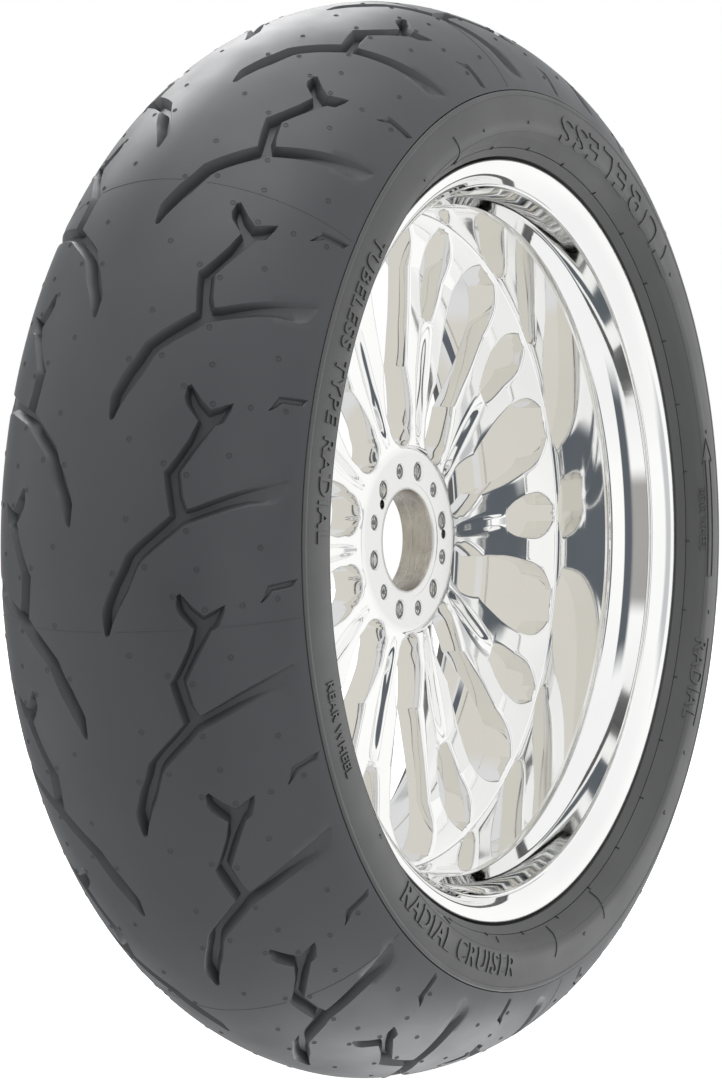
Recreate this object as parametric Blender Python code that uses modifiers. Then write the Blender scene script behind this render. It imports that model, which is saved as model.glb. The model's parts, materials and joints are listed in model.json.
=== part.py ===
"""A wide rear motorcycle tyre on its polished aluminium wheel.

The wheel turns about the Y axis, with its left side towards -Y, +Z up and its centre at the origin.
Every ring is a profile of (radius, across) points turned about that axis, with across running from
the wheel's centre plane along +Y. All rings share one step count, so their facets nest.
"""

import math

import bmesh
import bpy
from mathutils import Matrix, Vector

MM = 0.001
GAP = 0.3 * MM
RING_STEPS = 28
SMALL_STEPS = 12

# Tyre
CROWN_RADIUS = 330.2 * MM
HALF_WIDTH = 101.6 * MM
SECTION_DROP = 78.5 * MM  # from the crown down to the widest point
SECTION_POWER = 1.84  # 2 would make the section an ellipse
STATION_STEP = 16.5  # degrees between the section's points
BELT_EDGE = 49.5  # degrees
SECTION_SPLIT = 66.0  # where the ply's crown part hands over to PLY_SHOULDER, in degrees
RIDGE_ANGLE = 74.0  # where the tread's rubber ends, on the section's own parameter, in degrees
TREAD_THICK_CROWN = 9.6 * MM
TREAD_THICK_RIDGE = 6.0 * MM
BELT_THICK = 2.4 * MM
PLY_THICK = 2.0 * MM
LINER_THICK = 1.8 * MM
CHAFER_THICK = 1.8 * MM
RIM_LINE = (237.4 * MM, 88.7 * MM)  # radius, across

# Rim
SEAT_RADIUS = 218.3 * MM
FLANGE_RADIUS = 231.0 * MM
FLANGE_FACE = 76.2 * MM  # half of a 6 inch rim
FLANGE_LIP = 84.0 * MM
WELL_RADIUS = 208.5 * MM
WELL_HALF = 46.0 * MM
BORE_SIDE_RADIUS = 204.0 * MM  # the well, seen from the hub

# Bead
CORE_WIDE = 5.4 * MM
CORE_TALL = 5.6 * MM
CORE_ACROSS = 68.8 * MM
CORE_BOTTOM = 223.0 * MM

# Spoke disc
DISC_LEFT = -8.0 * MM
DISC_RIGHT = 13.0 * MM
HUB_LEFT = -9.0 * MM
HUB_RIGHT = 14.0 * MM
HUB_RADIUS = 56.0 * MM
HUB_BORE_RADIUS = 30.7 * MM
HOLE_RING_RADIUS = 44.0 * MM
BIG_HOLE_RADIUS = 5.7 * MM
SMALL_HOLE_RADIUS = 4.7 * MM
BIG_HOLE_FIRST = 16.0
SMALL_HOLE_FIRST = 46.0
HOLE_PITCH = 60.0
SPOKES = 10
MAIN_WINDOW_FIRST = 23.2
FORK_WINDOW_FIRST = 5.2
INNER_END_STEPS = 4
MAIN_WINDOW = [  # radius, half width
    (72.0 * MM, 13.0 * MM),
    (80.0 * MM, 15.6 * MM),
    (100.0 * MM, 15.0 * MM),
    (108.0 * MM, 13.2 * MM),
    (120.0 * MM, 16.8 * MM),
    (150.0 * MM, 23.0 * MM),
    (172.0 * MM, 24.5 * MM),
    (190.0 * MM, 21.5 * MM),
    (199.5 * MM, 16.0 * MM),
]
FORK_WINDOW = [
    (134.0 * MM, 5.0 * MM),
    (150.0 * MM, 11.1 * MM),
    (175.0 * MM, 14.2 * MM),
    (190.0 * MM, 11.3 * MM),
    (199.5 * MM, 6.5 * MM),
]

# Valve, along a radius of the wheel from the rim's well towards the hub
VALVE_ANGLE = 180.0 + 180.0 / RING_STEPS  # the middle of one of the well's flats
VALVE_ACROSS = -28.0 * MM
VALVE_HOLE_RADIUS = 4.3 * MM
STEM_RADIUS = 4.0 * MM
STEM_BORE = 2.7 * MM
STEM_TIP = 30.0 * MM
CORE_TOP = 28.0 * MM
CORE_FOOT = 9.7 * MM
PIN_RADIUS = 0.6 * MM
SPRING_RADIUS = 1.35 * MM
SPRING_WIRE = 0.25 * MM
SPRING_TURNS = 5
CAP_RADIUS = 5.2 * MM
CAP_WALL = 0.9 * MM
CAP_OPEN_END = 18.0 * MM
CAP_TIP = 33.5 * MM

COLOURS = {  # colour, roughness, metallic
    "tread_rubber": ((0.055, 0.057, 0.060), 0.55, 0.0),
    "sidewall_rubber": ((0.045, 0.044, 0.043), 0.60, 0.0),
    "inner_rubber": ((0.030, 0.030, 0.030), 0.70, 0.0),
    "ply_cord": ((0.46, 0.40, 0.30), 0.80, 0.0),
    "bead_steel": ((0.45, 0.43, 0.40), 0.40, 1.0),
    "polished_aluminium": ((0.88, 0.87, 0.85), 0.08, 1.0),
    "brass": ((0.72, 0.55, 0.28), 0.30, 1.0),
    "cap_plastic": ((0.02, 0.02, 0.02), 0.45, 0.0),
}


def clear_scene():
    for obj in list(bpy.data.objects):
        bpy.data.objects.remove(obj, do_unlink=True)


def make_materials():
    made = {}
    for name, (colour, roughness, metallic) in COLOURS.items():
        material = bpy.data.materials.new(name)
        material.use_nodes = True
        shader = material.node_tree.nodes["Principled BSDF"]
        shader.inputs["Base Color"].default_value = (*colour, 1.0)
        shader.inputs["Roughness"].default_value = roughness
        shader.inputs["Metallic"].default_value = metallic
        made[name] = material
    return made


def new_collection(name):
    collection = bpy.data.collections.new(name)
    bpy.context.scene.collection.children.link(collection)
    return collection


def signed_area(outline):
    shifted = outline[1:] + outline[:1]
    return sum(a[0] * b[1] - b[0] * a[1] for a, b in zip(outline, shifted)) / 2


def turned(name, outline, material, collection, steps=RING_STEPS, on_axis=False):
    """A ring, or with on_axis a solid whose outline starts and ends on the axis, turned about local Z."""
    if signed_area(outline) > 0:
        outline = outline[::-1]
    count = len(outline)
    edges = [(i, i + 1) for i in range(count - 1)]
    if not on_axis:
        edges.append((count - 1, 0))
    mesh = bpy.data.meshes.new(name)
    mesh.from_pydata([(radius, 0.0, along) for radius, along in outline], edges, [])
    mesh.materials.append(material)
    obj = bpy.data.objects.new(name, mesh)
    collection.objects.link(obj)
    screw = obj.modifiers.new("Turn", "SCREW")
    screw.axis = "Z"
    screw.angle = math.tau
    screw.steps = steps
    screw.render_steps = steps
    screw.use_merge_vertices = True
    screw.merge_threshold = 1e-5
    screw.use_smooth_shade = True
    return obj


def wheel_ring(name, outline, material, collection):
    """A ring about the wheel's axis: the turned shape's local Z becomes world +Y."""
    obj = turned(name, outline, material, collection)
    obj.rotation_euler = (-math.pi / 2, 0.0, 0.0)
    return obj


def offset(path, distance):
    """The open path of (radius, across) points moved to its right-hand side by distance, with mitred corners."""
    normals = []
    for a, b in zip(path, path[1:]):
        along = Vector((b[0] - a[0], b[1] - a[1])).normalized()
        normals.append(Vector((along.y, -along.x)))
    moved = []
    for i, point in enumerate(path):
        before = normals[max(i - 1, 0)]
        after = normals[min(i, len(normals) - 1)]
        middle = (before + after).normalized()
        reach = distance / max(middle.dot(before), 0.5)
        moved.append((point[0] + middle.x * reach, point[1] + middle.y * reach))
    return moved


def ribbon(path, thickness):
    """A closed outline of the given thickness centred on an open path."""
    return offset(path, thickness / 2) + offset(path, -thickness / 2)[::-1]


def mirrored(outline):
    return [(radius, -across) for radius, across in outline]


def section_point(angle, depth=0.0):
    """A point of the tyre's outer section, moved inwards along its normal. 0 is the crown, 90 the widest point."""
    power = 2 / SECTION_POWER
    half_step = 0.05

    def on_surface(degrees):
        turn = math.radians(degrees)
        across = math.copysign(abs(math.sin(turn)) ** power, degrees) * HALF_WIDTH
        drop = SECTION_DROP * (1 - abs(math.cos(turn)) ** power)
        return Vector((CROWN_RADIUS - drop, across))

    here = on_surface(angle)
    along = (on_surface(angle + half_step) - on_surface(angle - half_step)).normalized()
    return (here.x - along.y * depth, here.y + along.x * depth)


def tread_thickness(angle):
    share = (abs(angle) / RIDGE_ANGLE) ** 2
    return TREAD_THICK_CROWN + (TREAD_THICK_RIDGE - TREAD_THICK_CROWN) * share


def section_path(limit, depth_at):
    """Points of the section from -limit to +limit degrees, each at its own depth.

    Every layer uses the same stations, so their chords stay parallel and the gaps stay open.
    """
    count = round(limit // STATION_STEP)
    angles = [STATION_STEP * i for i in range(-count, count + 1)]
    if limit - angles[-1] > 1.0:
        angles = [-limit, *angles, limit]
    return [section_point(angle, depth_at(angle)) for angle in angles]


# One side of the ply's middle line, from the shoulder down to the bead core, then round under the
# core and up its outer side. The crown's part of the line comes from section_path.
PLY_SHOULDER = [
    (262.0 * MM, 92.9 * MM),
    (251.0 * MM, 90.6 * MM),
    (243.5 * MM, 82.0 * MM),
    (229.0 * MM, CORE_ACROSS - CORE_WIDE / 2 - GAP - PLY_THICK / 2),
]
PLY_HOOK = [
    (CORE_BOTTOM - GAP - PLY_THICK / 2, CORE_ACROSS - CORE_WIDE / 2 - GAP - PLY_THICK / 2),
    (CORE_BOTTOM - GAP - PLY_THICK / 2, CORE_ACROSS + CORE_WIDE / 2 + GAP + PLY_THICK / 2),
    (230.2 * MM, CORE_ACROSS + CORE_WIDE / 2 + GAP + PLY_THICK / 2),
    (239.2 * MM, 82.8 * MM),
]


def under_tread(angle):
    return tread_thickness(angle) + GAP


def ply_depth(angle):
    return under_tread(angle) + BELT_THICK + GAP + PLY_THICK / 2


def ply_line():
    crown = section_path(SECTION_SPLIT, ply_depth)
    side = PLY_SHOULDER + PLY_HOOK
    return mirrored(side[::-1]) + crown + side


def make_tyre(materials, parts):
    ridge = RIDGE_ANGLE
    tread = section_path(ridge, lambda angle: 0.0)
    tread += section_path(ridge, tread_thickness)[::-1]
    wheel_ring("tread_band", tread, materials["tread_rubber"], parts)

    belt = section_path(BELT_EDGE, under_tread)
    belt += section_path(BELT_EDGE, lambda angle: under_tread(angle) + BELT_THICK)[::-1]
    wheel_ring("steel_belt", belt, materials["bead_steel"], parts)

    wheel_ring("carcass_ply", ribbon(ply_line(), PLY_THICK), materials["ply_cord"], parts)

    side = PLY_SHOULDER + PLY_HOOK[:1]
    inside = mirrored(side[::-1]) + section_path(SECTION_SPLIT, ply_depth) + side
    liner_line = offset(inside, -(PLY_THICK / 2 + GAP + LINER_THICK / 2))
    wheel_ring("inner_liner", ribbon(liner_line, LINER_THICK), materials["inner_rubber"], parts)

    sidewall = sidewall_outline()
    chafer = chafer_outline()
    core = core_outline()
    filler = filler_outline()
    for side_name, flip in (("left", mirrored), ("right", list)):
        wheel_ring("sidewall_" + side_name, flip(sidewall), materials["sidewall_rubber"], parts)
        wheel_ring("chafer_" + side_name, flip(chafer), materials["sidewall_rubber"], parts)
        wheel_ring("bead_core_" + side_name, flip(core), materials["bead_steel"], parts)
        wheel_ring("bead_filler_" + side_name, flip(filler), materials["inner_rubber"], parts)


def sidewall_outline():
    """Outer face from just under the tread's edge to the rim line, and back along the ply."""
    below_tread = RIDGE_ANGLE + 0.4
    outer = [section_point(angle) for angle in (below_tread, 80.0, 85.0, 90.0)]
    outer += [(245.5 * MM, 99.0 * MM), (240.6 * MM, 94.0 * MM), RIM_LINE]
    skin = PLY_THICK / 2 + GAP
    inner = offset(PLY_SHOULDER[:3], skin)
    low = [(239.9 * MM, 86.0 * MM), (243.0 * MM, 87.0 * MM)]
    top = section_point(below_tread, TREAD_THICK_RIDGE)
    return outer + low + inner[1::-1] + [top]


def chafer_outline():
    """The strip from the bead's toe, round the heel and the flange, out to the rim line."""
    heel = FLANGE_FACE - GAP
    seat = SEAT_RADIUS + GAP
    toe = 61.0 * MM
    outer = [(seat, toe), (seat, heel), (228.6 * MM, heel), (232.2 * MM, 80.2 * MM)]
    outer += [(232.4 * MM, 84.0 * MM), (RIM_LINE[0] - GAP, RIM_LINE[1] - GAP)]
    inner = [(239.4 * MM, 85.4 * MM), (234.6 * MM, 80.4 * MM), (229.3 * MM, heel - CHAFER_THICK)]
    inner += [(seat + CHAFER_THICK, heel - CHAFER_THICK), (seat + CHAFER_THICK, toe)]
    return outer + inner


def core_outline():
    low, high = CORE_ACROSS - CORE_WIDE / 2, CORE_ACROSS + CORE_WIDE / 2
    top = CORE_BOTTOM + CORE_TALL
    return [(CORE_BOTTOM, low), (CORE_BOTTOM, high), (top, high), (top, low)]


def filler_outline():
    """The wedge above the core, between the ply and its turned-up end."""
    base = CORE_BOTTOM + CORE_TALL + 2 * GAP
    low, high = CORE_ACROSS - CORE_WIDE / 2, CORE_ACROSS + CORE_WIDE / 2
    skin = PLY_THICK / 2 + GAP
    tip = (245.0 * MM, 86.2 * MM)
    return [(base, low), (base, high)] + offset(PLY_HOOK[1:], skin)[1:] + [tip] + offset(PLY_SHOULDER[2:4], skin)


def rim_outline():
    """The barrel's section: tyre side first, from the left flange to the right, then back on the hub side."""
    tyre_side = [
        (FLANGE_RADIUS, FLANGE_LIP - 1.6 * MM),
        (FLANGE_RADIUS - 0.2 * MM, 80.0 * MM),
        (227.4 * MM, FLANGE_FACE),
        (SEAT_RADIUS, FLANGE_FACE),
        (SEAT_RADIUS, 58.0 * MM),
        (WELL_RADIUS, WELL_HALF),
    ]
    hub_side = [
        (BORE_SIDE_RADIUS, 48.0 * MM),
        (209.3 * MM, 58.0 * MM),
        (215.3 * MM, 74.4 * MM),
        (222.0 * MM, 80.6 * MM),
        (227.5 * MM, FLANGE_LIP),
    ]
    return mirrored(tyre_side) + tyre_side[::-1] + hub_side[::-1] + mirrored(hub_side)


def disc_outline():
    """The spoke disc before its windows are cut: a hub boss on a flat disc."""
    edge = BORE_SIDE_RADIUS - GAP
    boss = HUB_RADIUS + 4.0 * MM
    return [
        (HUB_BORE_RADIUS, HUB_LEFT),
        (HUB_RADIUS, HUB_LEFT),
        (boss, DISC_LEFT),
        (edge, DISC_LEFT),
        (edge, DISC_RIGHT),
        (boss, DISC_RIGHT),
        (HUB_RADIUS, HUB_RIGHT),
        (HUB_BORE_RADIUS, HUB_RIGHT),
    ]


def polar(radius, degrees):
    turn = math.radians(degrees)
    return (radius * math.cos(turn), radius * math.sin(turn))


def window_outline(middle, stations, round_inner):
    """An outline about a radial line at middle degrees: stations are (radius, half width), the inner end first.

    A round inner end is a half circle of INNER_END_STEPS steps; the other ends are straight.
    """
    points = []
    if round_inner:
        centre, reach = stations[0]
        for i in range(1, INNER_END_STEPS):
            swing = math.pi * (0.5 + i / INNER_END_STEPS)
            points.append((centre + reach * math.cos(swing), reach * math.sin(swing)))
    points += [(radius, -half) for radius, half in stations]
    points += [(radius, half) for radius, half in stations[::-1]]
    turn = Matrix.Rotation(math.radians(middle), 2)
    return [tuple(turn @ Vector(point)) for point in points]


def flat_cutter(name, outline, half_depth, collection):
    """A prism through the disc, from a filled 2D curve made into a mesh with welded caps."""
    curve = bpy.data.curves.new(name + "_outline", "CURVE")
    curve.dimensions = "2D"
    curve.fill_mode = "BOTH"
    curve.extrude = half_depth
    spline = curve.splines.new("POLY")
    spline.points.add(len(outline) - 1)
    for point, (x, y) in zip(spline.points, outline):
        point.co = (x, y, 0.0, 1.0)
    spline.use_cyclic_u = True
    guide = bpy.data.objects.new(name + "_outline", curve)
    collection.objects.link(guide)
    guide.rotation_euler = (math.pi / 2, 0.0, 0.0)
    bpy.context.view_layer.update()
    graph = bpy.context.evaluated_depsgraph_get()
    mesh = bpy.data.meshes.new_from_object(guide.evaluated_get(graph))
    weld(mesh)
    cutter = bpy.data.objects.new(name, mesh)
    cutter.matrix_world = guide.matrix_world.copy()
    bpy.data.objects.remove(guide, do_unlink=True)
    return as_cutter(cutter, collection)


def weld(mesh):
    work = bmesh.new()
    work.from_mesh(mesh)
    bmesh.ops.remove_doubles(work, verts=work.verts, dist=1e-6)
    bmesh.ops.recalc_face_normals(work, faces=work.faces)
    work.to_mesh(mesh)
    work.free()


def round_cutter(name, radius, length, place, collection):
    """A cylinder along its local Z, set by the matrix place."""
    mesh = bpy.data.meshes.new(name)
    work = bmesh.new()
    bmesh.ops.create_cone(
        work, cap_ends=True, segments=SMALL_STEPS, radius1=radius, radius2=radius, depth=length
    )
    work.to_mesh(mesh)
    work.free()
    cutter = bpy.data.objects.new(name, mesh)
    cutter.matrix_world = place
    return as_cutter(cutter, collection)


def as_cutter(cutter, collection):
    cutter.hide_render = True
    cutter.display_type = "WIRE"
    collection.objects.link(cutter)
    return cutter


def cut(obj, cutters):
    cut_all = obj.modifiers.new("Cuts", "BOOLEAN")
    cut_all.operation = "DIFFERENCE"
    cut_all.solver = "EXACT"
    cut_all.operand_type = "COLLECTION"
    cut_all.collection = cutters


def make_spoke_disc(materials, parts):
    disc = wheel_ring("spoke_disc", disc_outline(), materials["polished_aluminium"], parts)
    cutters = new_collection("spoke_disc_cutters")
    deep = 40.0 * MM
    for i in range(SPOKES):
        turn = i * 360.0 / SPOKES
        window = window_outline(MAIN_WINDOW_FIRST + turn, MAIN_WINDOW, True)
        flat_cutter(f"main_window_{i}", window, deep, cutters)
        window = window_outline(FORK_WINDOW_FIRST + turn, FORK_WINDOW, False)
        flat_cutter(f"fork_window_{i}", window, deep, cutters)
    rings = (("big", BIG_HOLE_RADIUS, BIG_HOLE_FIRST), ("small", SMALL_HOLE_RADIUS, SMALL_HOLE_FIRST))
    for label, radius, first in rings:
        for i in range(round(360.0 / HOLE_PITCH)):
            x, z = polar(HOLE_RING_RADIUS, first + i * HOLE_PITCH)
            place = Matrix.Translation((x, 0.0, z)) @ Matrix.Rotation(math.pi / 2, 4, "X")
            round_cutter(f"{label}_hole_{i}", radius, 2 * deep, place, cutters)
    cut(disc, cutters)


def valve_place():
    """Local Z runs from the rim's well to the hub, with its zero on the well's flat at the hub side."""
    turn = math.radians(VALVE_ANGLE)
    flat = BORE_SIDE_RADIUS * math.cos(math.pi / RING_STEPS)
    inward = Vector((-math.cos(turn), 0.0, -math.sin(turn)))
    rotation = inward.to_track_quat("Z", "Y").to_matrix().to_4x4()
    return Matrix.Translation(-inward * flat + Vector((0.0, VALVE_ACROSS, 0.0))) @ rotation


def make_rim(materials, parts):
    rim = wheel_ring("rim_barrel", rim_outline(), materials["polished_aluminium"], parts)
    cutters = new_collection("rim_cutters")
    round_cutter("valve_hole", VALVE_HOLE_RADIUS + GAP, 24.0 * MM, valve_place(), cutters)
    cut(rim, cutters)


def make_valve(materials, parts):
    place = valve_place()
    well = -(WELL_RADIUS - BORE_SIDE_RADIUS) * math.cos(math.pi / RING_STEPS)
    head = well - 4.6 * MM

    def piece(name, outline, material, on_axis=False):
        obj = turned(name, outline, materials[material], parts, SMALL_STEPS, on_axis)
        obj.matrix_world = place
        return obj

    def tube(inner, outer, low, high):
        return [(inner, low), (outer, low), (outer, high), (inner, high)]

    stem = [
        (STEM_BORE, head),
        (7.0 * MM, head),
        (7.0 * MM, head + 2.0 * MM),
        (STEM_RADIUS, head + 2.0 * MM),
        (STEM_RADIUS, STEM_TIP - 1.0 * MM),
        (STEM_RADIUS - 0.8 * MM, STEM_TIP),
        (STEM_BORE, STEM_TIP),
    ]
    piece("valve_stem", stem, "brass")
    grommet = tube(STEM_RADIUS + GAP, 8.0 * MM, head + 2.0 * MM + GAP, well - GAP)
    piece("valve_grommet", grommet, "inner_rubber")
    piece("valve_washer", tube(STEM_RADIUS + GAP, 7.6 * MM, GAP, 1.3 * MM), "brass")
    make_nut(place, materials["brass"], parts)

    bore, chamber, skin = 1.0 * MM, 1.9 * MM, STEM_BORE - GAP
    chamber_low, chamber_high = 11.0 * MM, 20.0 * MM
    core = [
        (bore, CORE_FOOT),
        (skin, CORE_FOOT),
        (skin, CORE_TOP),
        (bore, CORE_TOP),
        (bore, chamber_high),
        (chamber, chamber_high),
        (chamber, chamber_low),
        (bore, chamber_low),
    ]
    piece("valve_core_body", core, "brass")
    collar_top = chamber_high - GAP
    collar_foot = collar_top - 0.8 * MM
    cup_top = CORE_FOOT - GAP
    pin = [
        (0.0, cup_top - 2.4 * MM),
        (1.7 * MM, cup_top - 2.4 * MM),
        (1.7 * MM, cup_top),
        (PIN_RADIUS, cup_top),
        (PIN_RADIUS, collar_foot),
        (chamber - GAP, collar_foot),
        (chamber - GAP, collar_top),
        (PIN_RADIUS, collar_top),
        (PIN_RADIUS, CORE_TOP + 0.8 * MM),
        (0.0, CORE_TOP + 0.8 * MM),
    ]
    piece("valve_core_pin", pin, "brass", on_axis=True)
    make_spring(place, chamber_low + GAP, collar_foot - GAP, materials["bead_steel"], parts)

    roof = CAP_TIP - 1.4 * MM
    inside = CAP_RADIUS - CAP_WALL
    cap = [
        (0.0, roof),
        (inside, roof),
        (inside, CAP_OPEN_END),
        (CAP_RADIUS, CAP_OPEN_END),
        (CAP_RADIUS, CAP_TIP - 0.8 * MM),
        (CAP_RADIUS - 0.8 * MM, CAP_TIP),
        (0.0, CAP_TIP),
    ]
    piece("valve_cap", cap, "cap_plastic", on_axis=True)
    seal = tube(1.6 * MM, inside - GAP, STEM_TIP + GAP, roof - GAP)
    piece("valve_cap_seal", seal, "inner_rubber")


def make_nut(place, material, parts):
    """A hexagon with a round hole, between the washer and the cap."""
    low, high = 1.6 * MM, 6.6 * MM
    mesh = bpy.data.meshes.new("valve_nut")
    work = bmesh.new()
    bmesh.ops.create_cone(
        work, cap_ends=True, segments=6, radius1=7.0 * MM, radius2=7.0 * MM, depth=high - low
    )
    work.to_mesh(mesh)
    work.free()
    mesh.materials.append(material)
    nut = bpy.data.objects.new("valve_nut", mesh)
    parts.objects.link(nut)
    nut.matrix_world = place @ Matrix.Translation((0.0, 0.0, (low + high) / 2))
    cutters = new_collection("valve_nut_cutters")
    round_cutter("nut_bore", STEM_RADIUS + GAP, 4 * (high - low), nut.matrix_world.copy(), cutters)
    cut(nut, cutters)


def make_spring(place, low, high, material, parts):
    """The core's coil spring round its pin: one helix of wire with filled ends."""
    points_per_turn = 8
    count = SPRING_TURNS * points_per_turn + 1
    low, high = low + SPRING_WIRE, high - SPRING_WIRE
    curve = bpy.data.curves.new("valve_core_spring", "CURVE")
    curve.dimensions = "3D"
    curve.bevel_depth = SPRING_WIRE
    curve.bevel_resolution = 1
    curve.use_fill_caps = True
    spline = curve.splines.new("POLY")
    spline.points.add(count - 1)
    for i, point in enumerate(spline.points):
        turn = math.tau * i / points_per_turn
        along = low + (high - low) * i / (count - 1)
        point.co = (SPRING_RADIUS * math.cos(turn), SPRING_RADIUS * math.sin(turn), along, 1.0)
    curve.materials.append(material)
    spring = bpy.data.objects.new("valve_core_spring", curve)
    parts.objects.link(spring)
    spring.matrix_world = place


def main():
    clear_scene()
    materials = make_materials()
    parts = new_collection("rear_wheel_with_tyre")
    make_tyre(materials, parts)
    make_rim(materials, parts)
    make_spoke_disc(materials, parts)
    make_valve(materials, parts)


main()
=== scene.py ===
"""The looks of a wide rear motorcycle tyre on its polished aluminium wheel.

The wheel turns about the Y axis. Its left side faces -Y, and angles run from +X towards +Z.
Lengths in the tables below are millimetres, and metres() turns them into the scene's metres.
"""

import bisect
import json
import math

import bmesh
import bpy
from mathutils import Matrix, Vector
from mathutils.geometry import delaunay_2d_cdt, intersect_line_line_2d

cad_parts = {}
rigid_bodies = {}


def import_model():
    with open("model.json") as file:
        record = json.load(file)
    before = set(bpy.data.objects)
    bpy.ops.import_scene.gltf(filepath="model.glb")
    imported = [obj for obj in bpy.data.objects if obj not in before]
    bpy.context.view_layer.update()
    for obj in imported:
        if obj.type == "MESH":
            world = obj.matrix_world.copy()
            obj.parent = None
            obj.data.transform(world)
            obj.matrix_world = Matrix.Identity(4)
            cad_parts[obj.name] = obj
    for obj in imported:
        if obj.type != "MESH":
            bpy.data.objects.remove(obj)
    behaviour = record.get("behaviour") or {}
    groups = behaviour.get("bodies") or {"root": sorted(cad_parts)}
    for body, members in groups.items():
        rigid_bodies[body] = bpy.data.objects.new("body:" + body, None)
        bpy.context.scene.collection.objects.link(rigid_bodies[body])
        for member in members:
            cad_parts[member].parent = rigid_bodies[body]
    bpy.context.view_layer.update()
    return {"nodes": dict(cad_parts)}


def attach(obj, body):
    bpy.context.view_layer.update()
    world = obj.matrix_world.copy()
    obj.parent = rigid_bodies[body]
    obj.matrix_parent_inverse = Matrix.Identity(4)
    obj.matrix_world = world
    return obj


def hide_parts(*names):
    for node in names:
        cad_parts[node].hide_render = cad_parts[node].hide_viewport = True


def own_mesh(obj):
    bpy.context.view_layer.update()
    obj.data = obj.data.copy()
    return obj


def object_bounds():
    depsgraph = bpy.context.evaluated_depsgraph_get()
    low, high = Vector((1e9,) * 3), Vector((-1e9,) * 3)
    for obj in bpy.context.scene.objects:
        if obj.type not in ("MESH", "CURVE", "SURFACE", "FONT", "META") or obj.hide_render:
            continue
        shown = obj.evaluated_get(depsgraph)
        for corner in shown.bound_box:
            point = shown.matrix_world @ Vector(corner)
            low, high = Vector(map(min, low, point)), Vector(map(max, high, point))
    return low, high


MM = 0.001
RING_STEPS = 288
SMALL_STEPS = 40
SHARP_ANGLE = 32.0

# Tyre section: a superellipse from the crown to the widest point
CROWN_RADIUS = 330.2
HALF_WIDTH = 101.6
SECTION_DROP = 78.5
SECTION_POWER = 1.84
RIDGE_ANGLE = 74.0
SIDEWALL_TOP_ANGLE = 74.4

# Tread pattern
PITCH = 20.0
HALF_PITCH = 10.0
PITCHES = 18
DEGREE = CROWN_RADIUS * math.pi / 180  # mm of tread for a degree, at the crown
GROOVE_DEPTH = 6.5
GROOVE_WALL = 3.1  # how far a groove's wall leans in from its lip to its floor
FLAT_ZERO = 196.0
FADE_END = 120.0  # where the grooves have run out, in mm of section from the crown
FADE_LENGTH = 60.0
SLASH_DEPTH = 1.9

# The parts of one pitch, as (mm of section from the crown, degrees)
MAIN_GROOVE = [
    (11, 208.9), (10, 208.6), (9, 206.7), (10, 206.1), (15.5, 204.0), (20, 202.7), (24, 201.2),
    (30, 200.2), (40, 198.7), (47.5, 197.6), (46.8, 197.0), (45, 195.5), (43.2, 193.5),
    (45.5, 193.0), (50, 191.8), (55, 190.2), (58.5, 188.7), (59, 188.4), (51.5, 187.0),
    (50, 186.3), (51, 185.1), (53, 184.9), (60, 186.3), (65, 187.1), (70, 186.7), (76.5, 186.2),
    (76, 186.9), (73, 188.3), (70, 188.6), (68.5, 188.7), (60.5, 191.2), (53, 193.5),
    (55, 195.8), (57, 196.9), (60, 196.7), (80, 195.1), (100, 193.7), (110, 193.2),
    (112, 193.4), (111, 194.3), (108, 195.5), (103, 196.1), (97, 196.3), (90, 196.4),
    (80, 196.9), (70, 197.6), (60, 198.3), (55, 198.7), (50, 199.5), (40, 200.9),
    (33.5, 201.9), (31, 202.5), (25, 204.8), (20, 206.2), (15, 207.8), (13, 208.7),
]
SLASH = [
    (95, 186.3), (97, 185.8), (99.5, 184.5), (110, 184.2), (117.5, 184.05), (115, 185.0),
    (103, 185.3), (100, 185.8), (96, 186.3),
]
PITCH_EDGE = [  # a line between one pitch and the next that crosses no groove
    (0, 196), (12, 194), (25, 191), (45, 186), (55, 182), (76, 181.5), (95, 180), (130, 180),
]
VENT_MARKS = [
    (16.5, 203.0), (34.5, 202.4), (62, 202.7), (49, 205.2), (65.5, 206.6), (85.5, 206.4),
    (23, 210.6), (43, 192.7), (55.5, 193.7), (24, 198), (56.5, 199), (96, 200.6), (105, 206),
    (77, 191.5),
]
VENT_RING = 1.35
VENT_HALF = 0.32
PARTING_FIRST = 8.4
PARTING_STEP = 45.0


def metres(point):
    return Vector(point) * MM


def wheel_point(radius, degrees, across):
    """A point of the wheel in metres, from millimetres and degrees."""
    turn = math.radians(degrees)
    return metres((radius * math.cos(turn), across, radius * math.sin(turn)))


def in_scene(name, data):
    obj = bpy.data.objects.new(name, data)
    bpy.context.scene.collection.objects.link(obj)
    return obj


def add_object(name, mesh, material, body="wheel", replaces=()):
    """Links a finished mesh as a smooth-shaded piece that rides on a body."""
    mesh.materials.clear()
    mesh.materials.append(materials[material])
    mesh.shade_smooth()
    mesh.set_sharp_from_angle(angle=math.radians(SHARP_ANGLE))
    obj = in_scene(name, mesh)
    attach(obj, body)
    if replaces:
        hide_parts(*replaces)
    return obj


def make_mesh(name, points, faces, merge=2e-6, shortest=0.0):
    """A mesh with doubled points joined and its normals turned outwards."""
    mesh = bpy.data.meshes.new(name)
    mesh.from_pydata(points, [], faces)
    work = bmesh.new()
    work.from_mesh(mesh)
    bmesh.ops.remove_doubles(work, verts=work.verts, dist=merge)
    if shortest:
        bmesh.ops.dissolve_degenerate(work, edges=work.edges, dist=shortest)
    bmesh.ops.recalc_face_normals(work, faces=work.faces)
    work.to_mesh(mesh)
    work.free()
    return mesh


def strips(first, count, steps, closed=True):
    """The quads between neighbouring copies of an outline that go all the way round."""
    faces = []
    for step in range(steps):
        here, there = first + step * count, first + (step + 1) % steps * count
        for i in range(count if closed else count - 1):
            j = (i + 1) % count
            faces.append((here + i, here + j, there + j, there + i))
    return faces


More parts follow.
